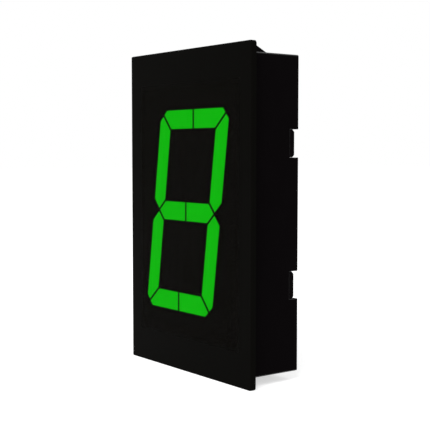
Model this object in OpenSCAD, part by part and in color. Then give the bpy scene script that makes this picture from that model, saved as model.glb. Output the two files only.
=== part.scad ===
// Sixteen-segment display unit: one large character behind a smoked front,
// in a shallow plastic case that snaps into a rectangular panel cut-out.
//
// Frame: the origin is the middle of the panel seat (the back of the front's flange).
// The front looks along -Y, +X is to the right seen from the front, +Z is up.

/* [Front cover] */
// How far the flange of the front cover stands out round the case
flange_reach = 2.6; // [2:0.1:8]
// Thickness of the front cover at its flange
cover_t = 1.6; // [1.2:0.1:3]
// Rounding of the front edges of the cover
cover_edge_r = 0.3; // [0.2:0.1:1]
// Rounding of the four corners of the cover
cover_corner_r = 0.9; // [0.2:0.1:2]
// Thickness of the cover's window, in front of the mouth of the case
window_t = 0.7; // [0.4:0.1:1]
// Width of each locating rib on the cover's back
rib_w = 5; // [3:0.5:6]
// Thickness of the locating ribs
rib_t = 1.2; // [0.8:0.1:2]
// How far the locating ribs reach into the case
rib_reach = 2.8; // [1.5:0.1:5]

/* [Case] */
// Width of the case
case_w = 52; // [50:0.5:60]
// Height of the case
case_h = 85; // [80:0.5:100]
// Thickness of the case walls
case_wall = 1.8; // [1.4:0.1:2.4]
// Rounding of the long edges of the case
case_corner_r = 0.5; // [0.2:0.1:1]
// Distance between the middles of the two notches in each side wall
notch_spacing = 38; // [30:0.5:50]
// Height of each notch along the side wall
notch_h = 7.5; // [6:0.1:12]

/* [Screws] */
// Diameter of the cover screws
screw_d = 2.3; // [2:0.1:2.6]
// Diameter of a screw head
screw_head_d = 4; // [3.6:0.1:4.2]
// Height of a screw head
screw_head_h = 1.2; // [0.9:0.1:1.6]
// How far a screw reaches into its boss
screw_bite = 5; // [3:0.5:6]
// Diameter of the screw bosses in the case
boss_d = 5; // [4.6:0.1:6]
// Distance between the left and right screws
screw_spacing = 28; // [24:0.5:32]

/* [Panel catches] */
// Widest gap between the flange and the catches, for the panel
panel_gap = 2.2; // [1:0.1:3.5]
// How far the tops of the catches stay inside the outline of the flange
catch_setback = 0.3; // [0.1:0.1:1]
// Length of the flat on top of a catch
catch_flat = 0.3; // [0.2:0.1:1]
// Angle of the ramp of a catch
catch_angle = 27.7; // [20:0.1:45]
// Width of the two fixed catches on top
hook_w = 5; // [3:0.5:8]
// Distance of the fixed catches from the sides of the case
hook_inset = 1.6; // [0.5:0.1:4]
// Width of the spring latch underneath
latch_w = 8; // [5:0.5:12]
// Width of the slot round the spring latch
latch_slot = 0.8; // [0.6:0.1:1.2]
// Length of the latch's tongue behind its catch
latch_root = 3; // [1:0.5:4]

/* [Character] */
// Height of the character
digit_h = 57; // [48:0.5:60]
// Width of the character, measured along a bar
digit_w = 32.1; // [28:0.1:34]
// How far the character stands to the right of the middle
digit_shift = -1.5; // [-2:0.1:2]
// Slant of the character in degrees
digit_slant = 8; // [0:0.5:11]
// Width of the bars round the character
stroke = 5.3; // [4.5:0.1:6]
// Width of the upright bars in the middle of the character
upright_w = 4.2; // [3.4:0.1:4.8]
// How much of a window's width the end of a diagonal bar takes on each side
diagonal_cut = 2.2; // [1.8:0.1:2.8]
// Width of the gap between two bars at a corner
joint_gap = 0.65; // [0.3:0.05:0.9]
// Width of the gap in the middle of the level bars
split_gap = 0.65; // [0.3:0.05:0.9]
// Width of the web between the outer bars and the inner ones
inner_web = 0.8; // [0.5:0.1:1.2]
// Size of the cut across each outer corner of the character
corner_cut = 3; // [2:0.1:4]

/* [Reflector and light blocks] */
// Depth of the reflector
reflector_depth = 8.5; // [6.5:0.5:12]
// Thickness of the light blocks that fill the front of the wells
block_t = 3.2; // [2:0.1:5]
// How much each side of a well leans in from front to back
well_taper = 0.9; // [0.3:0.1:1]
// Thickness of the reflector's front where it is cored out behind
reflector_skin = 2; // [1.5:0.1:3]
// Thickness of the reflector's outer walls
reflector_wall = 1.2; // [0.9:0.1:1.6]
// Diameter of the reflector's locating pegs
peg_d = 2; // [1.4:0.1:2.4]

/* [Circuit board] */
// Thickness of the circuit board
board_t = 1.6; // [1:0.1:2]
// Room for parts between the circuit board and the rear cover
rear_room = 4.4; // [3.6:0.1:8]
// Long side of a light chip
chip_l = 1.6; // [1.2:0.1:2]
// Short side of a light chip
chip_w = 0.8; // [0.6:0.1:1.2]
// Height of a light chip
chip_h = 0.7; // [0.4:0.1:1]
// Distance between the middles of the input and output headers
header_spacing = 38; // [34:0.5:42]
// Number of pin columns in each header
header_columns = 5; // [3:1:6]
// Pin pitch of the headers
header_pitch = 2.54; // [2:0.01:2.54]
// Width of a header, across its two rows of pins
header_w = 8.9; // [8.4:0.1:9.6]
// How far the headers stand out of the rear cover
header_stand = 3.15; // [1:0.05:5]
// Thickness of the header walls
header_wall = 1.2; // [0.8:0.1:1.4]
// Thickness of a header's floor
header_floor = 2.4; // [1.5:0.1:3]
// Side of the square header pins
pin_side = 0.64; // [0.4:0.02:0.7]

/* [Drive circuit] */
// Side of the square microcontroller package
controller_side = 7; // [5:0.5:9]
// Thickness of the microcontroller package
controller_t = 1.5; // [1:0.1:2]
// Leads on each side of the microcontroller
controller_leads = 8; // [4:1:8]
// Pitch of the microcontroller's leads
controller_pitch = 0.8; // [0.5:0.05:0.8]
// Width of a driver package without its leads
driver_w = 3.9; // [3:0.1:4.4]
// Length of a driver package
driver_l = 9.9; // [9.4:0.1:11]
// Thickness of the driver and regulator packages
driver_t = 1.7; // [1.2:0.1:2.4]
// Leads on each side of a driver
driver_leads = 8; // [4:1:8]
// Pitch of a driver's leads
driver_pitch = 1.27; // [1:0.01:1.3]
// Width of the voltage regulator package without its leads
regulator_w = 3.5; // [3:0.1:4]
// Length of the voltage regulator package
regulator_l = 6.5; // [6:0.1:7]
// Pitch of the voltage regulator's leads
regulator_pitch = 2.3; // [1.8:0.1:2.4]
// Length of the reservoir capacitor
reservoir_l = 7.3; // [5:0.1:8]
// Width of the reservoir capacitor
reservoir_w = 4.3; // [3:0.1:5]
// Thickness of the reservoir capacitor
reservoir_t = 2.9; // [1.8:0.1:3.2]
// Length of the input diode
diode_l = 4.3; // [3.5:0.1:5]
// Width of the input diode
diode_w = 2.6; // [2:0.1:3.2]
// Thickness of the input diode
diode_t = 2.2; // [1.5:0.1:2.6]
// Length of the resonator
resonator_l = 3.2; // [2.5:0.1:4]
// Width of the resonator
resonator_w = 1.3; // [1:0.1:2]
// Thickness of the resonator
resonator_t = 0.9; // [0.6:0.1:1.2]
// Length of a small chip resistor or capacitor
small_chip_l = 1.6; // [1:0.1:2]
// Width of a small chip resistor or capacitor
small_chip_w = 0.8; // [0.5:0.1:1.2]
// Thickness of a small chip resistor
resistor_t = 0.45; // [0.3:0.05:0.6]
// Distance from one segment resistor to the next
resistor_pitch = 1.5; // [1.3:0.1:1.8]
// Free board between neighbouring parts of the drive circuit
part_spacing = 1.8; // [1.2:0.1:2.2]

/* [Rear cover] */
// Thickness of the rear cover
rear_t = 1.5; // [1.2:0.1:3]
// How far the rear cover lies below the rim of the case
rear_sink = 1.45; // [1:0.05:2]
// Size of the bevels on the tabs of the rear cover
tab_bevel = 0.65; // [0.2:0.05:0.8]
// Thickness of the lip round the inside of the rear cover
lip_t = 1; // [0.8:0.1:1.6]
// Height of the lip round the inside of the rear cover
lip_h = 2; // [1:0.1:2.5]

/* [Clearances] */
// Clearance between parts that drop into each other
fit_gap = 0.15; // [0.05:0.05:0.25]
// Clearance between a tab of the rear cover and each side of its notch
tab_gap = 0.05; // [0.05:0.05:0.2]
// Clearance between the reflector and the case
reflector_gap = 0.2; // [0.1:0.05:0.4]
// Clearance between the reflector and the front cover
front_gap = 0.05; // [0.05:0.05:0.3]
// Clearance round a light block in its well
block_gap = 0.04; // [0.02:0.01:0.08]
// Clearance round a screw in its boss
thread_gap = 0.05; // [0.03:0.01:0.1]
// Clearance round a screw in the cover and the board
shank_gap = 0.15; // [0.1:0.05:0.3]
// Clearance round a header where it passes through the rear cover
window_gap = 0.4; // [0.2:0.1:1]

/* [Hidden] */
$fn = 32;
tiny = 0.01; // overrun of a cut past a face

// The stack from front to back
window_back = window_t - cover_t;
reflector_front = window_back + front_gap;
board_front = reflector_front + reflector_depth;
board_back = board_front + board_t;
rear_front = board_back + rear_room;
rear_back = rear_front + rear_t;
case_depth = rear_back + rear_sink;

// The inside of the case
inner_w = case_w - 2 * case_wall;
inner_h = case_h - 2 * case_wall;
boss_bite = 0.2; // overlap of a boss with the wall beside it
boss_z = inner_h / 2 - boss_d / 2 + boss_bite;
boss_front = window_back + 1; // the bosses start 1 mm behind the cover's window
pilot_spare = 1; // how much deeper a pilot hole is than its screw
screw_x = screw_spacing / 2;
pilot_d = screw_d + 2 * thread_gap;
clear_d = screw_d + 2 * shank_gap;
rear_post_d = boss_d - 2 * (boss_bite + fit_gap);
post_gap = 0.1; // between a rear post and the board

// The locating ribs of the front cover stand outside the screws
rib_to_boss = 1;
rib_x = screw_x + boss_d / 2 + rib_to_boss + rib_w / 2;

// The front cover covers the case and its flange
cover_w = case_w + 2 * flange_reach;
cover_h = case_h + 2 * flange_reach;

// The catches
catch_h = flange_reach - catch_setback;
catch_run = catch_h / tan(catch_angle);
hook_x = case_w / 2 - hook_inset - hook_w / 2;

// The reflector lies between the side walls and between the upper and lower bosses
reflector_w = inner_w - 2 * reflector_gap;
reflector_h = 2 * (boss_z - boss_d / 2 - reflector_gap);
peg_h = board_t - 0.2; // the pegs end just below the back of the board
peg_root = 1; // how deep a peg stands in the reflector
peg_x = reflector_w / 2 - reflector_wall - peg_d / 2;
peg_z = reflector_h / 2 - reflector_wall - peg_d / 2;

// The circuit board and the rear cover
board_w = inner_w - 2 * fit_gap;
board_h = inner_h - 2 * fit_gap;
rear_w = inner_w - 2 * fit_gap;
rear_h = inner_h - 2 * fit_gap;
tab_h = notch_h - 2 * tab_gap;

// The headers
header_z = header_spacing / 2;
header_end = 3.8; // from the last pin's pitch to the header's end
header_l = header_columns * header_pitch + 2 * header_end;
pin_gap = 0.03; // clearance round a pin in its header
header_h = rear_room + rear_t + header_stand;
solder_gap = 0.05; // solder between the board and the parts on it

// ---------------------------------------------------------------- the character
// Outlines are drawn upright in [across, up], then slanted and shifted. side is -1 on the
// left and 1 on the right, level is 1 at the top and -1 at the bottom.
half_w = digit_w / 2;
half_h = digit_h / 2;
lean = tan(digit_slant);
joint_shift = joint_gap / sqrt(2); // half a joint's gap, measured along a bar

// The split in a level bar stays vertical on the slanted character
function split_edge(side, up, middle) = side * split_gap / 2 - (up - middle) * lean;

function level_bar(side, level) = let (
    outer = half_h, inner = half_h - stroke, middle = level * (half_h - stroke / 2)
  ) [
    [side * (half_w - corner_cut), level * outer],
    [side * (half_w - (corner_cut + joint_shift) / 2),
     level * (half_h - (corner_cut - joint_shift) / 2)],
    [side * (half_w - stroke - joint_shift), level * inner],
    [split_edge(side, level * inner, middle), level * inner],
    [split_edge(side, level * outer, middle), level * outer]
  ];

function side_bar(side, level) = [
    [side * half_w, level * (half_h - corner_cut)],
    [side * (half_w - (corner_cut - joint_shift) / 2),
     level * (half_h - (corner_cut + joint_shift) / 2)],
    [side * (half_w - stroke), level * (half_h - stroke - joint_shift)],
    [side * (half_w - stroke), level * (stroke / 2 + joint_shift)],
    [side * (half_w - stroke / 2), level * joint_shift],
    [side * half_w, level * (stroke / 2 + joint_shift)]
  ];

function middle_bar(side) = [
    [side * (half_w - stroke / 2 - joint_shift), 0],
    [side * (half_w - stroke - joint_shift), stroke / 2],
    [split_edge(side, stroke / 2, 0), stroke / 2],
    [split_edge(side, -stroke / 2, 0), -stroke / 2],
    [side * (half_w - stroke - joint_shift), -stroke / 2]
  ];

// The windows inside the character, which the inner bars share
window_low = stroke / 2 + inner_web;
window_high = half_h - stroke - inner_web;
window_near = upright_w / 2 + inner_web;
window_far = half_w - stroke - inner_web;

function upright_bar(level) = [
    [-upright_w / 2, level * window_high],
    [-upright_w / 2, level * (window_low + upright_w / 2)],
    [0, level * window_low],
    [upright_w / 2, level * (window_low + upright_w / 2)],
    [upright_w / 2, level * window_high]
  ];

function diagonal_bar(side, level) = let (
    rise = diagonal_cut * (window_high - window_low) / (window_far - window_near)
  ) [
    [side * window_far, level * window_high],
    [side * (window_far - diagonal_cut), level * window_high],
    [side * window_near, level * (window_low + rise)],
    [side * window_near, level * window_low],
    [side * (window_near + diagonal_cut), level * window_low],
    [side * window_far, level * (window_high - rise)]
  ];

// Each bar: its name, its upright outline, and the step from its middle to a light chip
SEGMENTS = [
  ["a1", level_bar(-1, 1), [half_w / 6, 0]],
  ["a2", level_bar(1, 1), [half_w / 6, 0]],
  ["b", side_bar(1, 1), [0, half_h / 5]],
  ["c", side_bar(1, -1), [0, half_h / 5]],
  ["d1", level_bar(1, -1), [half_w / 6, 0]],
  ["d2", level_bar(-1, -1), [half_w / 6, 0]],
  ["e", side_bar(-1, -1), [0, half_h / 5]],
  ["f", side_bar(-1, 1), [0, half_h / 5]],
  ["g1", middle_bar(-1), [half_w / 5, 0]],
  ["g2", middle_bar(1), [half_w / 5, 0]],
  ["h", diagonal_bar(-1, 1), [-half_w / 14, half_h / 7]],
  ["i", upright_bar(1), [0, half_h / 6]],
  ["j", diagonal_bar(1, 1), [half_w / 14, half_h / 7]],
  ["k", diagonal_bar(1, -1), [-half_w / 14, half_h / 7]],
  ["l", upright_bar(-1), [0, half_h / 6]],
  ["m", diagonal_bar(-1, -1), [half_w / 14, half_h / 7]]
];

function slanted(p) = [digit_shift + p.x + p.y * lean, p.y];
function mean(points) = [for (p = points) 1] * points / len(points);
function cross_sum(p) = let (n = len(p))
  [for (i = [0:n - 1]) 1] * [for (i = [0:n - 1]) cross(p[i], p[(i + 1) % n])];
function counterclockwise(p) = cross_sum(p) > 0 ? p : [for (i = [len(p) - 1:-1:0]) p[i]];
function outline(segment) = counterclockwise([for (p = segment[1]) slanted(p)]);

// A convex outline moved inwards by d on every side
function inward(a, b) = [a.y - b.y, b.x - a.x] / norm(b - a);
function inset(points, d) = let (n = len(points)) [
    for (i = [0:n - 1])
      let (
        here = points[i],
        both = inward(points[(i + n - 1) % n], here) + inward(here, points[(i + 1) % n])
      )
      here + 2 * d * both / (both * both)
  ];

// ---------------------------------------------------------------- shared shapes

// A solid that stands along Y between a front outline and a back outline
module loft_y(front, back, y_front, y_back) {
  n = len(front);
  polyhedron(
    points = concat(
      [for (p = front) [p.x, y_front, p.y]],
      [for (p = back) [p.x, y_back, p.y]]
    ),
    faces = concat(
      [[for (i = [n - 1:-1:0]) i]],
      [[for (i = [0:n - 1]) n + i]],
      [for (i = [0:n - 1]) [i, (i + 1) % n, n + (i + 1) % n, n + i]]
    )
  );
}

// A drawing in [x, z] made solid from y_front to y_back
module slab_y(y_front, y_back) {
  translate([0, y_back, 0])
    rotate([90, 0, 0])
      linear_extrude(height = y_back - y_front)
        children();
}

// A block between two heights along Y, centred at [x, z]
module block_y(x, z, w, h, y_front, y_back) {
  translate([x - w / 2, y_front, z - h / 2])
    cube([w, y_back - y_front, h]);
}

module rod_y(x, z, d, y_front, y_back) {
  translate([x, y_back, z])
    rotate([90, 0, 0])
      cylinder(d = d, h = y_back - y_front);
}

module rounded_rectangle(w, h, r) {
  square([w - 2 * r, h], center = true);
  square([w, h - 2 * r], center = true);
  for (x = [-1, 1], y = [-1, 1])
    translate([x * (w / 2 - r), y * (h / 2 - r)])
      circle(r = r);
}

module at_screws() {
  for (x = [-screw_x, screw_x], z = [-boss_z, boss_z])
    translate([x, 0, z])
      children();
}

// ---------------------------------------------------------------- front cover

// Section of the cover across one direction: flat back, rounded front edges
module cover_section(span) {
  body = cover_t - cover_edge_r;
  intersection() {
    translate([-span / 2, 0])
      square([span, cover_t]);
    union() {
      translate([-span / 2, 0])
        square([span, body]);
      translate([-span / 2 + cover_edge_r, 0])
        square([span - 2 * cover_edge_r, cover_t]);
      for (side = [-1, 1])
        translate([side * (span / 2 - cover_edge_r), body])
          circle(r = cover_edge_r);
    }
  }
}

module cover_plate() {
  intersection() {
    translate([0, 0, -cover_h / 2])
      linear_extrude(height = cover_h)
        mirror([0, 1])
          cover_section(cover_w);
    translate([-cover_w / 2, 0, 0])
      rotate([90, 0, 90])
        linear_extrude(height = cover_w)
          rotate(90)
            cover_section(cover_h);
    slab_y(-cover_t, 0)
      rounded_rectangle(cover_w, cover_h, cover_corner_r);
  }
}

module front_cover() {
  rib_outer = inner_h / 2 - fit_gap;
  color([0.07, 0.065, 0.06]) {
    difference() {
      cover_plate();
      slab_y(window_back, tiny)
        rounded_rectangle(case_w + 2 * fit_gap, case_h + 2 * fit_gap, case_corner_r);
    }
    for (x = [-rib_x, rib_x], z = [-1, 1])
      block_y(x, z * (rib_outer - rib_t / 2), rib_w, rib_t, window_back - tiny, rib_reach);
  }
}

// ---------------------------------------------------------------- case

// A wedge that stands on the plane z = 0, steep towards the panel
module catch_wedge(w) {
  root = 0.4; // how deep the wedge reaches into its wall
  translate([-w / 2, 0, 0])
    rotate([90, 0, 90])
      linear_extrude(height = w)
        polygon([
          [panel_gap, -root], [panel_gap, catch_h], [panel_gap + catch_flat, catch_h],
          [panel_gap + catch_flat + catch_run, 0], [panel_gap + catch_flat + catch_run, -root]
        ]);
}

// The slot that frees the spring latch from the wall on three sides
module latch_slot_cut() {
  slot_front = panel_gap - latch_slot;
  slot_back = panel_gap + catch_flat + catch_run + latch_root;
  depth = case_wall + 2 * tiny;
  module through(x, w, y_front, y_back) {
    translate([x - w / 2, y_front, -case_h / 2 - tiny])
      cube([w, y_back - y_front, depth]);
  }
  through(0, latch_w + 2 * latch_slot, slot_front, panel_gap);
  for (side = [-1, 1])
    through(side * (latch_w + latch_slot) / 2, latch_slot, slot_front, slot_back);
}

module case_shell() {
  difference() {
    slab_y(window_back, case_depth)
      rounded_rectangle(case_w, case_h, case_corner_r);
    block_y(0, 0, inner_w, inner_h, window_back - tiny, case_depth + tiny);
    for (side = [-1, 1], level = [-1, 1])
      block_y(side * case_w / 2, level * notch_spacing / 2, 2 * case_wall + tiny, notch_h,
              rear_front, case_depth + tiny);
    latch_slot_cut();
  }
}

module case() {
  color([0.045, 0.04, 0.042]) {
    difference() {
      union() {
        case_shell();
        at_screws()
          rod_y(0, 0, boss_d, boss_front, board_front);
      }
      at_screws()
        rod_y(0, 0, pilot_d, board_front - screw_bite - pilot_spare, board_front + tiny);
    }
    for (x = [-hook_x, hook_x])
      translate([x, 0, case_h / 2])
        catch_wedge(hook_w);
    translate([0, 0, -case_h / 2])
      mirror([0, 0, 1])
        catch_wedge(latch_w);
  }
}

// ---------------------------------------------------------------- rear cover

module rear_tab(side) {
  reach = case_w / 2 - rear_w / 2;
  translate([side * rear_w / 2, 0, 0])
    mirror([side < 0 ? 1 : 0, 0, 0])
      translate([-lip_t, 0, 0])
        rotate([0, 90, 0])
          rotate([0, 0, 90])
            linear_extrude(height = reach + lip_t)
              polygon([
                [rear_front, -tab_h / 2], [rear_front, tab_h / 2],
                [rear_back - tab_bevel, tab_h / 2], [rear_back, tab_h / 2 - tab_bevel],
                [rear_back, -tab_h / 2 + tab_bevel], [rear_back - tab_bevel, -tab_h / 2]
              ]);
}

module rear_cover() {
  color([0.045, 0.04, 0.042])
    difference() {
      union() {
        block_y(0, 0, rear_w, rear_h, rear_front, rear_back);
        difference() {
          block_y(0, 0, rear_w, rear_h, rear_front - lip_h, rear_front + tiny);
          block_y(0, 0, rear_w - 2 * lip_t, rear_h - 2 * lip_t,
                  rear_front - lip_h - tiny, rear_front + 2 * tiny);
        }
        at_screws()
          rod_y(0, 0, rear_post_d, board_back + post_gap, rear_front + tiny);
        for (side = [-1, 1], level = [-1, 1])
          translate([0, 0, level * notch_spacing / 2])
            rear_tab(side);
      }
      at_screws()
        rod_y(0, 0, clear_d, board_back, rear_back + tiny);
      for (level = [-1, 1])
        block_y(0, level * header_z, header_l + 2 * window_gap, header_w + 2 * window_gap,
                rear_front - tiny, rear_back + tiny);
    }
}

// ---------------------------------------------------------------- screws

module cover_screw() {
  recess_w = 0.7;
  recess_l = screw_head_d * 0.6;
  recess_depth = screw_head_h * 0.6;
  head_back = rear_back + screw_head_h;
  difference() {
    union() {
      rod_y(0, 0, screw_d, board_front - screw_bite, rear_back + tiny);
      translate([0, rear_back, 0])
        rotate([-90, 0, 0])
          intersection() {
            cylinder(d = screw_head_d, h = screw_head_h);
            cylinder(d1 = screw_head_d + screw_head_h, d2 = screw_head_d - screw_head_h / 2,
                     h = screw_head_h);
          }
    }
    block_y(0, 0, recess_l, recess_w, head_back - recess_depth, head_back + tiny);
    block_y(0, 0, recess_w, recess_l, head_back - recess_depth, head_back + tiny);
  }
}

module cover_screws() {
  color([0.6, 0.6, 0.58])
    at_screws()
      cover_screw();
}

// ---------------------------------------------------------------- reflector and light blocks

module well(segment) {
  front = outline(segment);
  lead = tiny / reflector_depth * well_taper;
  loft_y(inset(front, -lead), inset(front, well_taper + lead),
         reflector_front - tiny, board_front + tiny);
}

// Cored-out pockets behind the reflector's front, beside and beyond the character
module reflector_cores() {
  beside = 1.4; // wall left beside the outer bars
  narrowest = 1; // width of a side pocket at its narrow end
  outer = reflector_w / 2 - reflector_wall;
  strip_low = half_h + beside;
  strip_high = reflector_h / 2 - reflector_wall;
  strip_x = peg_x - peg_d;
  slab_y(reflector_front + reflector_skin, board_front + tiny)
    for (turn = [0, 180]) {
      // The pocket on the left; turned half round, it is the one on the right
      edge = (turn == 0 ? digit_shift : -digit_shift) - half_w - beside;
      low_end = min(half_h, (edge + outer - narrowest) / max(lean, tiny));
      rotate(turn) {
        polygon([
          [-outer, half_h], [-outer, -low_end],
          [edge - low_end * lean, -low_end], [edge + half_h * lean, half_h]
        ]);
        for (side = [-1, 1])
          translate([side < 0 ? -strip_x : reflector_wall / 2, strip_low])
            square([strip_x - reflector_wall / 2, strip_high - strip_low]);
      }
    }
}

module reflector() {
  color([0.05, 0.05, 0.05]) {
    difference() {
      block_y(0, 0, reflector_w, reflector_h, reflector_front, board_front);
      for (s = SEGMENTS)
        well(s);
      reflector_cores();
    }
    for (x = [-peg_x, peg_x], z = [-peg_z, peg_z])
      rod_y(x, z, peg_d, board_front - peg_root, board_front + peg_h);
  }
}

module segment_block(segment) {
  lit = search([segment[0]], [["h"], ["i"], ["j"], ["k"], ["l"], ["m"]]) == [[]];
  front = inset(outline(segment), block_gap);
  back = inset(front, well_taper * block_t / reflector_depth);
  color(lit ? [0.08, 0.7, 0.08] : [0.1, 0.1, 0.1])
    loft_y(front, back, reflector_front, reflector_front + block_t);
}

function chip_places(segment) = let (middle = mean(segment[1]))
  [for (k = [-1, 1]) slanted(middle + k * segment[2])];

module light_chips() {
  color([0.9, 0.88, 0.75])
    for (s = SEGMENTS, place = chip_places(s))
      translate([place.x, board_front, place.y])
        light_chip(s[2].x > s[2].y);
}

// A light chip: a ceramic base with a smaller clear lens on it
module light_chip(level) {
  base_h = chip_h * 0.45;
  lens_share = 0.7; // side of the lens as a share of the base's
  w = level ? chip_l : chip_w;
  h = level ? chip_w : chip_l;
  block_y(0, 0, w, h, -solder_gap - base_h, -solder_gap);
  block_y(0, 0, w * lens_share, h * lens_share, -solder_gap - chip_h, tiny - solder_gap - base_h);
}

// ---------------------------------------------------------------- circuit board and its parts

module main_board() {
  color([0.04, 0.28, 0.12])
    difference() {
      block_y(0, 0, board_w, board_h, board_front, board_back);
      at_screws()
        rod_y(0, 0, clear_d, board_front - tiny, board_back + tiny);
      for (x = [-peg_x, peg_x], z = [-peg_z, peg_z])
        rod_y(x, z, peg_d + 2 * fit_gap, board_front - tiny, board_back + tiny);
    }
}

lead_t = 0.2; // thickness of a package lead
lead_reach = 1.05; // how far a lead reaches out of its package
lead_share = 0.4; // share of the pitch that a lead takes
package_draft = 0.15; // how much a moulded package leans in above and below its leads
package_air = 0.1; // air below a package
waist_share = 0.4; // height of a package's widest line as a share of its thickness

function rectangle(w, h) = [[-w / 2, -h / 2], [w / 2, -h / 2], [w / 2, h / 2], [-w / 2, h / 2]];

// Places a part on the back of the board, where y = 0 is then the part's own foot
module on_board(x, z) {
  translate([x, board_back + solder_gap, z])
    children();
}

// A moulded body, widest at its waist
module moulded_body(w, h, foot, waist, top) {
  loft_y(inset(rectangle(w, h), package_draft), rectangle(w, h), foot, waist);
  loft_y(rectangle(w, h), inset(rectangle(w, h), package_draft), waist, top);
}

// A gull-wing lead that runs out along +X from a package side at x = 0
module gull_lead(w, shoulder) {
  foot = lead_reach / 2;
  low = shoulder - lead_t / 2;
  translate([0, 0, -w / 2])
    linear_extrude(height = w)
      polygon([
        [-package_draft, low], [-package_draft, low + lead_t],
        [lead_reach - foot, low + lead_t], [lead_reach - foot + lead_t, lead_t],
        [lead_reach, lead_t], [lead_reach, 0], [lead_reach - foot, 0],
        [lead_reach - foot - lead_t / 2, low]
      ]);
}

// A row of leads on each side of a package that is w wide, turned by turn degrees
module lead_rows(w, leads, pitch, shoulder, turn = 0) {
  for (side = [turn, turn + 180], i = [0:leads - 1])
    rotate([0, side, 0])
      translate([w / 2, 0, (i - (leads - 1) / 2) * pitch])
        gull_lead(pitch * lead_share, shoulder);
}

module microcontroller() {
  waist = controller_t * waist_share;
  color([0.08, 0.08, 0.08])
    on_board(0, 0) {
      moulded_body(controller_side, controller_side, package_air, waist, controller_t);
      for (turn = [0, 90])
        lead_rows(controller_side, controller_leads, controller_pitch, waist, turn);
    }
}

// A driver stands a third of the way out from the middle of the board
driver_x = board_w * 0.3;

module driver(side) {
  waist = driver_t * waist_share;
  color([0.08, 0.08, 0.08])
    on_board(side * driver_x, 0) {
      moulded_body(driver_w, driver_l, package_air, waist, driver_t);
      lead_rows(driver_w, driver_leads, driver_pitch, waist);
    }
}

// A chip with a metal cap on each end, long along X
module capped_chip(l, w, t) {
  cap = l * 0.2;
  plating = 0.03;
  block_y(0, 0, l - cap, w - 2 * plating, plating, t - plating);
  for (end = [-1, 1])
    block_y(end * (l - cap) / 2, 0, cap, w, 0, t);
}

// A moulded body with a flat terminal folded under each end, long along X
module moulded_chip(l, w, t) {
  terminal_t = 0.15;
  terminal_w = w * 0.55;
  under = l * 0.15; // length of the fold below the body
  waist = t * waist_share;
  moulded_body(l - 2 * terminal_t, w, terminal_t, waist, t);
  for (end = [-1, 1]) {
    block_y(end * (l - under) / 2, 0, under, terminal_w, 0, terminal_t + tiny);
    block_y(end * (l - 2 * terminal_t) / 2, 0, 2 * terminal_t, terminal_w, 0, waist);
  }
}

// The supply parts stand in a row beyond the input header
supply_z = header_z + header_w / 2 + part_spacing + reservoir_w;
reservoir_x = reservoir_l / 2 + part_spacing / 2;
regulator_x = -regulator_w / 2 - lead_reach - part_spacing / 2;
diode_x = regulator_x - regulator_w / 2 - lead_reach - part_spacing - diode_l;

module voltage_regulator() {
  waist = driver_t * waist_share;
  tab_w = regulator_pitch * 1.3;
  color([0.08, 0.08, 0.08])
    on_board(regulator_x, supply_z) {
      moulded_body(regulator_w, regulator_l, package_air, waist, driver_t);
      for (i = [-1:1])
        translate([regulator_w / 2, 0, i * regulator_pitch])
          gull_lead(regulator_pitch * lead_share, waist);
      rotate([0, 180, 0])
        translate([regulator_w / 2, 0, 0])
          gull_lead(tab_w, waist);
    }
}

module reservoir_capacitor() {
  color([0.85, 0.6, 0.15])
    on_board(reservoir_x, supply_z)
      moulded_chip(reservoir_l, reservoir_w, reservoir_t);
}

module input_diode() {
  color([0.08, 0.08, 0.08])
    on_board(diode_x, supply_z)
      moulded_chip(diode_l, diode_w, diode_t);
}

module resonator() {
  z = -controller_side / 2 - lead_reach - part_spacing - resonator_w / 2;
  color([0.75, 0.75, 0.72])
    on_board(0, z)
      capped_chip(resonator_l, resonator_w, resonator_t);
}

// A column of resistors stands outside each driver, one for each of its segments
module segment_resistors() {
  x = driver_x + driver_w / 2 + lead_reach + small_chip_l / 2 + part_spacing;
  count = len(SEGMENTS) / 2;
  color([0.1, 0.1, 0.12])
    for (side = [-1, 1], i = [0:count - 1])
      on_board(side * x, (i - (count - 1) / 2) * resistor_pitch)
        capped_chip(small_chip_l, small_chip_w, resistor_t);
}

module bypass_capacitors() {
  z = driver_l / 2 + part_spacing + small_chip_w / 2;
  color([0.7, 0.6, 0.45])
    for (side = [-1, 1], level = [-1, 1])
      on_board(side * driver_x, level * z)
        capped_chip(small_chip_l, small_chip_w, small_chip_w);
}

module header_shroud(level) {
  foot = board_back + solder_gap;
  floor_back = foot + header_floor;
  rim = board_back + header_h;
  key_w = header_pitch * 1.8;
  hole = pin_side + 2 * pin_gap;
  foot_slot = (header_w - header_pitch) / 2;
  color([0.07, 0.07, 0.07])
    translate([0, 0, level * header_z])
      difference() {
        block_y(0, 0, header_l, header_w, foot, rim);
        block_y(0, 0, header_l - 2 * header_wall, header_w - 2 * header_wall,
                floor_back, rim + tiny);
        block_y(0, -header_w / 2 + header_wall / 2, key_w, header_wall + 2 * tiny,
                floor_back, rim + tiny);
        at_pins() {
          block_y(0, 0, hole, hole, board_back, floor_back + tiny);
          translate([0, 0, foot_slot / 2])
            block_y(0, 0, hole, foot_slot + tiny, board_back, foot + pin_side / 2 + pin_gap);
        }
      }
}

// Places the pins of a header, each with +Z turned towards the nearer long side
module at_pins() {
  for (i = [0:header_columns - 1], row = [-1, 1])
    translate([(i - (header_columns - 1) / 2) * header_pitch, 0, row * header_pitch / 2])
      rotate([0, row > 0 ? 0 : 180, 0])
        children();
}

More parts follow.
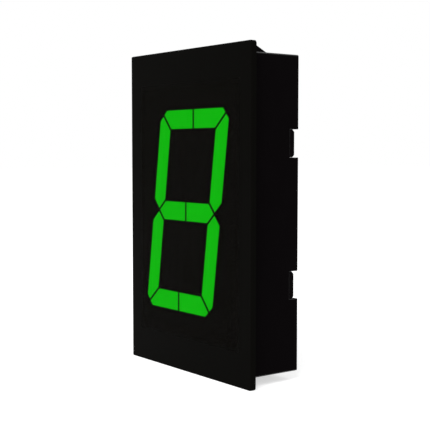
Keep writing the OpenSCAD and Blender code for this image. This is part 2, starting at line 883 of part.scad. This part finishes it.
module header_pins(level) {
  pin_sink = 1.2; // how far the pins end below the header's rim
  foot_reach = 1.4; // how far the feet reach out of the header
  tip_l = 0.5; // length of the tapered tip
  tip_taper = 0.18; // how much each side of the tip leans in
  foot = board_back + solder_gap;
  foot_l = (header_w - header_pitch) / 2 + foot_reach;
  pin_end = board_back + header_h - pin_sink;
  section = rectangle(pin_side, pin_side);
  color([0.85, 0.7, 0.3])
    translate([0, 0, level * header_z])
      at_pins() {
        block_y(0, 0, pin_side, pin_side, foot, pin_end - tip_l);
        loft_y(section, inset(section, tip_taper), pin_end - tip_l, pin_end);
        translate([0, 0, foot_l / 2])
          block_y(0, 0, pin_side, foot_l, foot, foot + pin_side / 2);
      }
}

// ---------------------------------------------------------------- the parts

front_cover();
case();
rear_cover();
cover_screws();
reflector();
for (s = SEGMENTS)
  segment_block(s);
light_chips();
main_board();
microcontroller();
driver(-1);  // left_driver
driver(1);  // right_driver
voltage_regulator();
reservoir_capacitor();
input_diode();
resonator();
segment_resistors();
bypass_capacitors();
header_shroud(1);  // input_header_shroud
header_pins(1);  // input_header_pins
header_shroud(-1);  // output_header_shroud
header_pins(-1);  // output_header_pins
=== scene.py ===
"""Sixteen-segment panel display: smoked front, lit green bars, black moulded case.

Lengths are in metres, in the display's own frame: +X right seen from the front,
+Y from the front to the back, +Z up, with the origin in the middle of the panel seat.
"""
import math

import bmesh
import bpy
import numpy as np
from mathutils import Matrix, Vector


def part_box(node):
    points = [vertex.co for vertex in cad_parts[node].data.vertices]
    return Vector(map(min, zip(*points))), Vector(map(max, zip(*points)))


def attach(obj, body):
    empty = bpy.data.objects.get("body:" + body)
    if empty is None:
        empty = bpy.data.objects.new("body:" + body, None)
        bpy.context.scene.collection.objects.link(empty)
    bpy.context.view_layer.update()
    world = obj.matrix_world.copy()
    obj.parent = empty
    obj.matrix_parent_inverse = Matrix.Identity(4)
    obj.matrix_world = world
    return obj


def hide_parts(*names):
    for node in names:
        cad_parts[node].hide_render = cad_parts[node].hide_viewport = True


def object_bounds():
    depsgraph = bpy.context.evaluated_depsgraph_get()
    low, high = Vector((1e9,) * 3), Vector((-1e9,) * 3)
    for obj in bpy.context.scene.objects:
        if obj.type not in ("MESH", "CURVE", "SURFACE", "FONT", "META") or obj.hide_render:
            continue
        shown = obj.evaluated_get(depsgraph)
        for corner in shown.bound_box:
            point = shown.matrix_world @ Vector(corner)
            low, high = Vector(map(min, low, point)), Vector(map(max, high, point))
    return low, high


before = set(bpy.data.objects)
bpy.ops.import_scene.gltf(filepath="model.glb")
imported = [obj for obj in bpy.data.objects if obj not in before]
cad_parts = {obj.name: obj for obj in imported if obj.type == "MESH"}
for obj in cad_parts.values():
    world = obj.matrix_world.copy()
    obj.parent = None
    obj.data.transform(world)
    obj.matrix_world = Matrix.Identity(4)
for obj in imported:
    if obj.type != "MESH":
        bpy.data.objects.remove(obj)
cad_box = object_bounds()

MM = 0.001
BODY = "root"
LIT_BARS = ["a1", "a2", "b", "c", "d1", "d2", "e", "f", "g1", "g2"]
DARK_BARS = ["h", "i", "j", "k", "l", "m"]

# Camera: standing to the right of the display and looking a little down
CAMERA_PLACE = (220.61 * MM, -157.56 * MM, 16.73 * MM)
CAMERA_YAW = 53.067
CAMERA_PITCH = 3.717
CAMERA_LENS = 81.26
SENSOR_WIDTH = 36.0

# The smoked front: how much it hides, the window that is left clear of black spray, the
# soft edge of the spray, and a height between the front and the back of the window
SMOKE = 0.65
WINDOW_HALF_W = 21.5 * MM
WINDOW_HALF_H = 33.5 * MM
SPRAY_SOFT = 2.5 * MM
MID_WINDOW = -1.25 * MM

# Self-tapping pan-head screw for plastics, 2.3 mm across its thread
SCREW_HEAD_D = 4.0 * MM
SCREW_CREST_D = 2.3 * MM
SCREW_ROOT_D = 1.7 * MM
SCREW_PITCH = 0.9 * MM
SCREW_POINT_L = 1.2 * MM
CROSS_SPAN = 2.3 * MM
CROSS_ARM_W = 0.62 * MM
CROSS_DEPTH = 0.75 * MM

# Input and output sockets of a Mix node that mixes colours
MIX_A, MIX_B, MIX_RESULT = 6, 7, 2

# How many waves a Wave Texture at scale 1 draws in one unit of length
WAVES_PER_UNIT = 20 / (2 * math.pi)

# Nearly all values of a Noise Texture lie in this range
NOISE_RANGE = {"From Min": 0.3, "From Max": 0.7}

# Studio: half the side of the floor in metres, how much the floor's own glow adds to its
# lit colour so that it stays white, and how strongly the white room lights the display
FLOOR_HALF = 3.0
FLOOR_GLOW = 0.58
ROOM_FILL = 0.55


# ------------------------------------------------------------------ materials

def colour(hex_code):
    """An sRGB hex colour as linear RGBA."""
    values = [int(hex_code[i:i + 2], 16) / 255 for i in (1, 3, 5)]
    linear = [v / 12.92 if v <= 0.04045 else ((v + 0.055) / 1.055) ** 2.4 for v in values]
    return (*linear, 1.0)


def per_grain(size_mm):
    """The texture scale that makes one grain as large as the given size."""
    return 1 / (size_mm * MM)


def add(tree, kind, settings=None, links=None):
    """A node of one kind, with its attributes or sockets set and its inputs linked."""
    made = tree.nodes.new(kind)
    for name, value in (settings or {}).items():
        if isinstance(name, str) and hasattr(made, name):
            setattr(made, name, value)
        else:
            made.inputs[name].default_value = value
    for name, source in (links or {}).items():
        tree.links.new(source, made.inputs[name])
    return made


def new_material(name):
    """An empty node material, its tree, and the object coordinates that its patterns follow."""
    material = bpy.data.materials.new(name)
    material.use_nodes = True
    tree = material.node_tree
    tree.nodes.clear()
    return material, tree, add(tree, "ShaderNodeTexCoord").outputs["Object"]


def smoked_polycarbonate():
    """Smoked polycarbonate, injection moulded with a polished face: black until something
    lights up behind it. Round the window it is sprayed black. The smoke is drawn on the
    front face alone, so the back of the window is clear. The face would mirror the white
    room, so its reflection is turned down until the black stays black."""
    material, tree, place = new_material("smoked_polycarbonate")
    axes = add(tree, "ShaderNodeSeparateXYZ", links={"Vector": place})
    beyond = []
    for axis, half in (("X", WINDOW_HALF_W), ("Z", WINDOW_HALF_H)):
        reach = add(tree, "ShaderNodeMath", {"operation": "ABSOLUTE"}, {0: axes.outputs[axis]})
        edge = {"From Min": half, "From Max": half + SPRAY_SOFT}
        beyond.append(add(tree, "ShaderNodeMapRange", edge, {"Value": reach.outputs[0]}).outputs[0])
    spray = add(tree, "ShaderNodeMath", {"operation": "MAXIMUM"}, dict(enumerate(beyond))).outputs[0]
    face = add(tree, "ShaderNodeMath", {"operation": "LESS_THAN", 1: MID_WINDOW}, {0: axes.outputs["Y"]})
    smoke = add(tree, "ShaderNodeMath", {"operation": "MULTIPLY", 1: SMOKE}, {0: face.outputs[0]})
    film = add(tree, "ShaderNodeMapRange", links={"Value": spray, "To Min": smoke.outputs[0]})
    cloud = add(tree, "ShaderNodeTexNoise", {"Scale": per_grain(9.0)}, {"Vector": place})
    # The window's tone is the film's own dark tint, painted a shade lighter than the sprayed border. This
    # painted lift makes up for the shade of the dim inside seen through the smoke, so that window and
    # border read as one even face.
    window = add(tree, "ShaderNodeMix",
                 {"data_type": "RGBA", MIX_A: colour("#0d0c09"), MIX_B: colour("#0e0d0b")},
                 {0: cloud.outputs["Fac"]})
    border = add(tree, "ShaderNodeMix",
                 {"data_type": "RGBA", MIX_A: colour("#090807"), MIX_B: colour("#0a0a08")},
                 {0: cloud.outputs["Fac"]})
    tone = add(tree, "ShaderNodeMix", {"data_type": "RGBA"},
               {0: spray, MIX_A: window.outputs[MIX_RESULT], MIX_B: border.outputs[MIX_RESULT]})
    flow = add(tree, "ShaderNodeTexNoise", {"Scale": per_grain(2.5)}, {"Vector": place})
    polish = add(tree, "ShaderNodeMapRange",
                 {**NOISE_RANGE, "To Min": 0.16, "To Max": 0.22},
                 {"Value": flow.outputs["Fac"]})
    shader = add(tree, "ShaderNodeBsdfPrincipled", {"Specular IOR Level": 0.005, "IOR": 1.58},
                 {"Base Color": tone.outputs[MIX_RESULT], "Roughness": polish.outputs[0],
                  "Alpha": film.outputs[0]})
    add(tree, "ShaderNodeOutputMaterial", links={"Surface": shader.outputs["BSDF"]})
    return material


def eroded_plastic(name, dark, light, shine, grain_mm=0.22):
    """Black plastic from a spark-eroded mould: an even, fine pebble that breaks up the light,
    over faint clouds where the melt flowed. The shine is low for the same reason as the
    front's."""
    material, tree, place = new_material(name)
    pebble = add(tree, "ShaderNodeTexNoise", {"Scale": per_grain(grain_mm), "Detail": 3.0},
                 {"Vector": place})
    cloud = add(tree, "ShaderNodeTexNoise", {"Scale": per_grain(6.0)}, {"Vector": place})
    tone = add(tree, "ShaderNodeMix",
               {"data_type": "RGBA", MIX_A: colour(dark), MIX_B: colour(light)},
               {0: cloud.outputs["Fac"]})
    rough = add(tree, "ShaderNodeMapRange",
                {**NOISE_RANGE, "To Min": 0.42, "To Max": 0.58},
                {"Value": pebble.outputs["Fac"]})
    bump = add(tree, "ShaderNodeBump", {"Strength": 0.25, "Distance": 0.02 * MM},
               {"Height": pebble.outputs["Fac"]})
    shader = add(tree, "ShaderNodeBsdfPrincipled", {"Specular IOR Level": shine},
                 {"Base Color": tone.outputs[MIX_RESULT], "Roughness": rough.outputs[0],
                  "Normal": bump.outputs["Normal"]})
    add(tree, "ShaderNodeOutputMaterial", links={"Surface": shader.outputs["BSDF"]})
    return material


def rubbed_plastic(name, tone, shine):
    """The edges of a moulded piece, rubbed smooth in handling, which catch the light."""
    material, tree, place = new_material(name)
    wear = add(tree, "ShaderNodeTexNoise", {"Scale": per_grain(0.8)}, {"Vector": place})
    shade = add(tree, "ShaderNodeMix",
                {"data_type": "RGBA", MIX_A: colour(tone), MIX_B: colour("#000000")},
                {0: wear.outputs["Fac"]})
    rough = add(tree, "ShaderNodeMapRange",
                {**NOISE_RANGE, "To Min": 0.28, "To Max": 0.4},
                {"Value": wear.outputs["Fac"]})
    shader = add(tree, "ShaderNodeBsdfPrincipled", {"Specular IOR Level": shine},
                 {"Base Color": shade.outputs[MIX_RESULT], "Roughness": rough.outputs[0]})
    add(tree, "ShaderNodeOutputMaterial", links={"Surface": shader.outputs["BSDF"]})
    return material


def lit_resin():
    """Green diffusing resin with its chips on: an even glow with no hot spots."""
    material, tree, place = new_material("lit_green_resin")
    cloud = add(tree, "ShaderNodeTexNoise", {"Scale": per_grain(3.0)}, {"Vector": place})
    glow = add(tree, "ShaderNodeMix",
               {"data_type": "RGBA", MIX_A: colour("#0df70d"), MIX_B: colour("#0ffd0f")},
               {0: cloud.outputs["Fac"]})
    shader = add(tree, "ShaderNodeBsdfPrincipled",
                 {"Base Color": colour("#041204"), "Roughness": 0.5, "Emission Strength": 1.32,
                  "Specular IOR Level": 0.012},
                 {"Emission Color": glow.outputs[MIX_RESULT]})
    add(tree, "ShaderNodeOutputMaterial", links={"Surface": shader.outputs["BSDF"]})
    return material


def dark_resin():
    """The same resin unlit, tinted dark so that it vanishes behind the smoked front."""
    material, tree, place = new_material("dark_resin")
    cloud = add(tree, "ShaderNodeTexNoise", {"Scale": per_grain(1.5)}, {"Vector": place})
    tone = add(tree, "ShaderNodeMix",
               {"data_type": "RGBA", MIX_A: colour("#0d0d0c"), MIX_B: colour("#111110")},
               {0: cloud.outputs["Fac"]})
    shader = add(tree, "ShaderNodeBsdfPrincipled", {"Roughness": 0.5, "Specular IOR Level": 0.008},
                 {"Base Color": tone.outputs[MIX_RESULT]})
    add(tree, "ShaderNodeOutputMaterial", links={"Surface": shader.outputs["BSDF"]})
    return material


def solder_resist():
    """Green solder resist over copper on glass epoxy: smooth and glossy, and the weave of the
    glass shows faintly through it as small squares, one thread to each 0.6 mm both ways."""
    material, tree, place = new_material("solder_resist")
    threads = []
    for axis in ("X", "Z"):
        band = {"Scale": per_grain(0.6) / WAVES_PER_UNIT, "bands_direction": axis}
        threads.append(add(tree, "ShaderNodeTexWave", band, {"Vector": place}).outputs["Fac"])
    weave = add(tree, "ShaderNodeMath", {"operation": "MULTIPLY"}, dict(enumerate(threads)))
    tone = add(tree, "ShaderNodeMix",
               {"data_type": "RGBA", MIX_A: colour("#0d4a24"), MIX_B: colour("#115a2c")},
               {0: weave.outputs[0]})
    shader = add(tree, "ShaderNodeBsdfPrincipled", {"Roughness": 0.28, "Coat Weight": 0.2},
                 {"Base Color": tone.outputs[MIX_RESULT]})
    add(tree, "ShaderNodeOutputMaterial", links={"Surface": shader.outputs["BSDF"]})
    return material


def moulded_epoxy(name, dark, light):
    """Moulded epoxy of a chip package: matt, with a fine filler grain."""
    material, tree, place = new_material(name)
    filler = add(tree, "ShaderNodeTexNoise", {"Scale": per_grain(0.15), "Detail": 3.0},
                 {"Vector": place})
    tone = add(tree, "ShaderNodeMix",
               {"data_type": "RGBA", MIX_A: colour(dark), MIX_B: colour(light)},
               {0: filler.outputs["Fac"]})
    bump = add(tree, "ShaderNodeBump", {"Strength": 0.3, "Distance": 0.01 * MM},
               {"Height": filler.outputs["Fac"]})
    shader = add(tree, "ShaderNodeBsdfPrincipled", {"Roughness": 0.55},
                 {"Base Color": tone.outputs[MIX_RESULT], "Normal": bump.outputs["Normal"]})
    add(tree, "ShaderNodeOutputMaterial", links={"Surface": shader.outputs["BSDF"]})
    return material


def plated_metal(name, dark, light, rough):
    """Plated metal: a thin bright coat with faint brightness and polish changes."""
    material, tree, place = new_material(name)
    cloud = add(tree, "ShaderNodeTexNoise", {"Scale": per_grain(0.8), "Detail": 3.0},
                {"Vector": place})
    tone = add(tree, "ShaderNodeMix",
               {"data_type": "RGBA", MIX_A: colour(dark), MIX_B: colour(light)},
               {0: cloud.outputs["Fac"]})
    polish = add(tree, "ShaderNodeMapRange",
                 {**NOISE_RANGE, "To Min": rough * 0.8, "To Max": rough * 1.3},
                 {"Value": cloud.outputs["Fac"]})
    shader = add(tree, "ShaderNodeBsdfPrincipled", {"Metallic": 1.0},
                 {"Base Color": tone.outputs[MIX_RESULT], "Roughness": polish.outputs[0]})
    add(tree, "ShaderNodeOutputMaterial", links={"Surface": shader.outputs["BSDF"]})
    return material


def fired_ceramic(name, dark, light):
    """Fired ceramic of a chip part: dense and slightly mottled."""
    material, tree, place = new_material(name)
    mottle = add(tree, "ShaderNodeTexNoise", {"Scale": per_grain(0.2), "Detail": 3.0},
                 {"Vector": place})
    tone = add(tree, "ShaderNodeMix",
               {"data_type": "RGBA", MIX_A: colour(dark), MIX_B: colour(light)},
               {0: mottle.outputs["Fac"]})
    shader = add(tree, "ShaderNodeBsdfPrincipled", {"Roughness": 0.4},
                 {"Base Color": tone.outputs[MIX_RESULT]})
    add(tree, "ShaderNodeOutputMaterial", links={"Surface": shader.outputs["BSDF"]})
    return material


def dress(node, material):
    """Gives a CAD node its finish."""
    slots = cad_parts[node].data.materials
    slots.clear()
    slots.append(material)


# ------------------------------------------------------------------ pieces

def place_piece(mesh, node, sharp_degrees):
    """Stands a mesh in the scene as the piece that a CAD node is seen as. Its faces are
    shaded smooth, but for edges sharper than the given angle."""
    mesh.shade_smooth()
    mesh.set_sharp_from_angle(angle=math.radians(sharp_degrees))
    piece = bpy.data.objects.new(mesh.name, mesh)
    bpy.context.scene.collection.objects.link(piece)
    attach(piece, BODY)
    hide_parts(node)
    return piece


def softened(node, piece_name, material, edge_material, radius_mm):
    """A copy of a CAD node whose sharp edges are rounded as a mould leaves them:
    triangles on one plane are joined, then each edge that turns sharply is rolled. The
    rolls and the rounded upright corners, whose normals lean in both X and Z, take the
    smoother edge material."""
    merge_within, flat_within, sharp_over = 0.001 * MM, math.radians(0.5), math.radians(30)
    corner_lean = 0.25
    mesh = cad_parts[node].data.copy()
    mesh.name = piece_name
    shape = bmesh.new()
    shape.from_mesh(mesh)
    bmesh.ops.remove_doubles(shape, verts=shape.verts, dist=merge_within)
    bmesh.ops.dissolve_limit(shape, angle_limit=flat_within, verts=shape.verts, edges=shape.edges)
    shape.to_mesh(mesh)
    shape.free()
    mesh.materials.clear()
    mesh.materials.append(material)
    mesh.materials.append(edge_material)
    normals = np.empty(3 * len(mesh.polygons))
    mesh.polygons.foreach_get("normal", normals)
    leaning = np.abs(normals.reshape(-1, 3)[:, [0, 2]]).min(axis=1) > corner_lean
    mesh.polygons.foreach_set("material_index", leaning.astype(np.int32))
    piece = place_piece(mesh, node, 40)
    rolls = piece.modifiers.new("edge_rolls", "BEVEL")
    rolls.material = 1
    rolls.width = radius_mm * MM
    rolls.segments = 2
    rolls.limit_method = "ANGLE"
    rolls.angle_limit = sharp_over


def closed_skin(rings, start, end):
    """Points and faces of a skin over rings of points [ring, step, xyz]: quads join each ring
    to the next and close round, and triangles close the first ring on the start point and
    the last ring on the end point."""
    count, steps = rings.shape[:2]
    here = np.arange(count * steps).reshape(count, steps)
    after = np.roll(here, -1, axis=1)
    quads = np.stack([here[:-1], after[:-1], after[1:], here[1:]], axis=-1).reshape(-1, 4)
    middle = np.full(steps, count * steps)
    first = np.stack([middle, after[0], here[0]], axis=-1)
    last = np.stack([middle + 1, here[-1], after[-1]], axis=-1)
    points = np.vstack([rings.reshape(-1, 3), start, end])
    return points, [quads, first, last]


def screw_skin(head_top, seat, tip):
    """One pan-head screw along Y. Round the axis, the outline of the cross recess is the
    farther of two crossed rectangles at each angle. The recess narrows from its rim to its
    floor. From the rim the rings widen into the round head, whose height falls from the
    middle to the edge as a superellipse. The thread is a ridge whose distance from the axis
    falls from crest to root with the distance, along the axis, from the nearest turn of a
    helix, and it shrinks to a point over the last stretch."""
    corner, right_angle = math.atan2(CROSS_ARM_W, CROSS_SPAN), math.pi / 2
    quarter = np.concatenate([
        np.linspace(0, corner, 4)[:-1],
        np.linspace(corner, right_angle - corner, 11)[:-1],
        np.linspace(right_angle - corner, right_angle, 4)[:-1],
    ])
    angle = (quarter + np.arange(4)[:, None] * right_angle).ravel()
    across, up = np.abs(np.cos(angle)), np.abs(np.sin(angle))
    nearly_zero = 1e-9
    arms = [
        np.minimum(CROSS_SPAN / 2 / np.maximum(a, nearly_zero),
                   CROSS_ARM_W / 2 / np.maximum(b, nearly_zero))
        for a, b in ((across, up), (up, across))
    ]
    cross = np.maximum(*arms)

    head_r = SCREW_HEAD_D / 2
    roundness = 2.8
    widening = np.sin(np.linspace(0, 1, 12) * right_angle)[:, None]
    head = cross + (head_r - cross) * widening
    head_y = seat + (head_top - seat) * (1 - (head / head_r) ** roundness) ** (1 / roundness)
    floor_share, rim_share, rim_bevel = 0.4, 0.97, 0.03 * MM
    recess = cross * np.array([[floor_share], [rim_share]])
    recess_y = np.array([np.full_like(cross, head_top - CROSS_DEPTH), head_y[0] - rim_bevel])

    rings_per_turn, flank_steepness = 8, 1.6
    point_share, point_curve = 0.12, 0.7
    length = seat - tip
    rows = int(length / SCREW_PITCH * rings_per_turn)
    down = np.linspace(0, length, rows)[:, None]
    turn = down / SCREW_PITCH + angle / (2 * math.pi)
    from_crest = np.abs(turn - np.round(turn)) * 2
    depth = (SCREW_CREST_D - SCREW_ROOT_D) / 2
    shank = SCREW_CREST_D / 2 - depth * np.minimum(from_crest * flank_steepness, 1)
    shank = shank * np.clip((length - down) / SCREW_POINT_L, point_share, 1) ** point_curve
    shank_y = np.broadcast_to(seat - down, shank.shape)

    radius = np.vstack([recess, head, shank])
    height = np.vstack([recess_y, head_y, shank_y])
    rings = np.stack([radius * np.cos(angle), height, radius * np.sin(angle)], axis=-1)
    return closed_skin(rings, (0, head_top - CROSS_DEPTH, 0), (0, tip, 0))


def cover_screws(material):
    """The four screws that hold the rear cover, at the corners of their CAD node's box."""
    low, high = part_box("cover_screws")
    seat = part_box("rear_cover")[1][1]
    points, faces = screw_skin(high[1], seat, low[1])
    inset = SCREW_HEAD_D / 2
    places = [(x, 0, z) for x in (low[0] + inset, high[0] - inset)
              for z in (low[2] + inset, high[2] - inset)]
    mesh = bpy.data.meshes.new("pan_head_screws")
    every_point = np.vstack([points + place for place in places])
    every_face = [face for i in range(len(places)) for group in faces
                  for face in (group + i * len(points)).tolist()]
    mesh.from_pydata(every_point.tolist(), [], every_face)
    mesh.materials.append(material)
    place_piece(mesh, "cover_screws", 35)


# ------------------------------------------------------------------ stage

def seen_directly(tree):
    """1 for rays from the eye, off a shiny surface or through a clear one, and 0 for others."""
    path = add(tree, "ShaderNodeLightPath")
    seen = path.outputs["Is Camera Ray"]
    for ray in ("Is Glossy Ray", "Is Transmission Ray"):
        either = add(tree, "ShaderNodeMath", {"operation": "MAXIMUM"}, {0: seen, 1: path.outputs[ray]})
        seen = either.outputs[0]
    return seen


def floor(height):
    """A pale floor that stays white to the eye and keeps the display's soft shadow."""
    material, tree, _ = new_material("studio_floor")
    lift = add(tree, "ShaderNodeMath", {"operation": "MULTIPLY", 1: FLOOR_GLOW}, {0: seen_directly(tree)})
    shader = add(tree, "ShaderNodeBsdfPrincipled",
                 {"Base Color": colour("#ececec"), "Roughness": 0.9, "Specular IOR Level": 0.0,
                  "Emission Color": colour("#ffffff")},
                 {"Emission Strength": lift.outputs[0]})
    add(tree, "ShaderNodeOutputMaterial", links={"Surface": shader.outputs["BSDF"]})
    corners = [(FLOOR_HALF * x, FLOOR_HALF * y, height) for x, y in ((-1, -1), (1, -1), (1, 1), (-1, 1))]
    mesh = bpy.data.meshes.new("floor")
    mesh.from_pydata(corners, [], [(0, 1, 2, 3)])
    mesh.materials.append(material)
    sheet = bpy.data.objects.new("floor", mesh)
    bpy.context.scene.collection.objects.link(sheet)


def world_light():
    """A white room to the eye and to reflections, and a softer fill for the light itself."""
    world = bpy.data.worlds.new("studio")
    bpy.context.scene.world = world
    world.use_nodes = True
    tree = world.node_tree
    tree.nodes.clear()
    strength = add(tree, "ShaderNodeMapRange", {"To Min": ROOM_FILL, "To Max": 1.0},
                   {"Value": seen_directly(tree)})
    shader = add(tree, "ShaderNodeBackground", {"Color": (1.0, 1.0, 1.0, 1.0)},
                 {"Strength": strength.outputs[0]})
    add(tree, "ShaderNodeOutputWorld", links={"Surface": shader.outputs["Background"]})


def soft_lamp(name, place, aim, size, power):
    """A square soft box that points at the display."""
    data = bpy.data.lights.new(name, "AREA")
    data.shape = "SQUARE"
    data.size = size
    data.energy = power
    lamp = bpy.data.objects.new(name, data)
    lamp.location = place
    lamp.rotation_euler = (Vector(aim) - Vector(place)).to_track_quat("-Z", "Y").to_euler()
    bpy.context.scene.collection.objects.link(lamp)


def camera():
    """Aimed by its heading and tilt, with no roll."""
    yaw, pitch = math.radians(CAMERA_YAW), math.radians(CAMERA_PITCH)
    ahead = Vector((-math.sin(yaw) * math.cos(pitch), math.cos(yaw) * math.cos(pitch), -math.sin(pitch)))
    data = bpy.data.cameras.new("camera")
    data.sensor_fit = "HORIZONTAL"
    data.sensor_width = SENSOR_WIDTH
    data.lens = CAMERA_LENS
    data.clip_start = 0.01
    eye = bpy.data.objects.new("camera", data)
    eye.location = CAMERA_PLACE
    eye.rotation_euler = ahead.to_track_quat("-Z", "Y").to_euler()
    bpy.context.scene.collection.objects.link(eye)
    bpy.context.scene.camera = eye


# ------------------------------------------------------------------ the display

camera()
world_light()
floor(cad_box[0][2])
soft_lamp("key_lamp", (0.5, -0.9, 1.0), (0, 0, 0), 0.8, 14.0)
soft_lamp("side_lamp", (1.0, 0.4, 0.5), (0, 0, 0), 0.6, 1.3)

dress("front_cover", smoked_polycarbonate())

# Black ABS of the case: dead matt, so only its rubbed edges catch the light
case_abs = eroded_plastic("case_abs", "#080607", "#0a0809", 0.005)
case_edge = rubbed_plastic("case_edge", "#0c0b0b", 0.3)
softened("case", "case_moulding", case_abs, case_edge, 0.08)
softened("rear_cover", "rear_cover_moulding", case_abs, case_edge, 0.08)

# Glass-filled PBT of the plug headers: a shade greyer, with a finer grain
header_pbt = eroded_plastic("header_pbt", "#131313", "#181818", 0.05, 0.12)
header_edge = rubbed_plastic("header_edge", "#181818", 0.3)
for header in ("input_header", "output_header"):
    softened(header + "_shroud", header + "_moulding", header_pbt, header_edge, 0.1)

# Zinc plate: silvery, a little cloudy, half polished
cover_screws(plated_metal("zinc_plate", "#b0b0ac", "#ccccc8", 0.32))

# Black polycarbonate of the reflector: swallows stray light between the bars
dress("reflector", eroded_plastic("reflector_polycarbonate", "#0c0b0a", "#100f0e", 0.006))

lit = lit_resin()
for bar in LIT_BARS:
    dress("segment_" + bar, lit)
unlit = dark_resin()
for bar in DARK_BARS:
    dress("segment_" + bar, unlit)

# The drive circuit: black epoxy chips, a yellow tantalum capacitor, a nickel-plated can,
# black glazed resistors and tan ceramic capacitors on the green board
package = moulded_epoxy("package_epoxy", "#141414", "#1e1e1e")
for part in ("microcontroller", "left_driver", "right_driver", "voltage_regulator", "input_diode"):
    dress(part, package)
dress("light_chips", fired_ceramic("chip_ceramic", "#d4ceac", "#eae4c8"))
dress("main_board", solder_resist())
dress("reservoir_capacitor", moulded_epoxy("tantalum_epoxy", "#ca952b", "#dea941"))
dress("resonator", plated_metal("nickel_plate", "#b4b4b0", "#d3d3ce", 0.3))
dress("segment_resistors", fired_ceramic("resistor_glaze", "#1c1c20", "#2e2e32"))
dress("bypass_capacitors", fired_ceramic("capacitor_ceramic", "#9c8262", "#b19676"))

# Gold plate of the pins: bright and smooth
pin_gold = plated_metal("pin_gold", "#d4b35b", "#ebcd7d", 0.22)
for part in ("input_header_pins", "output_header_pins"):
    dress(part, pin_gold)

bpy.context.scene.view_settings.view_transform = "Standard"
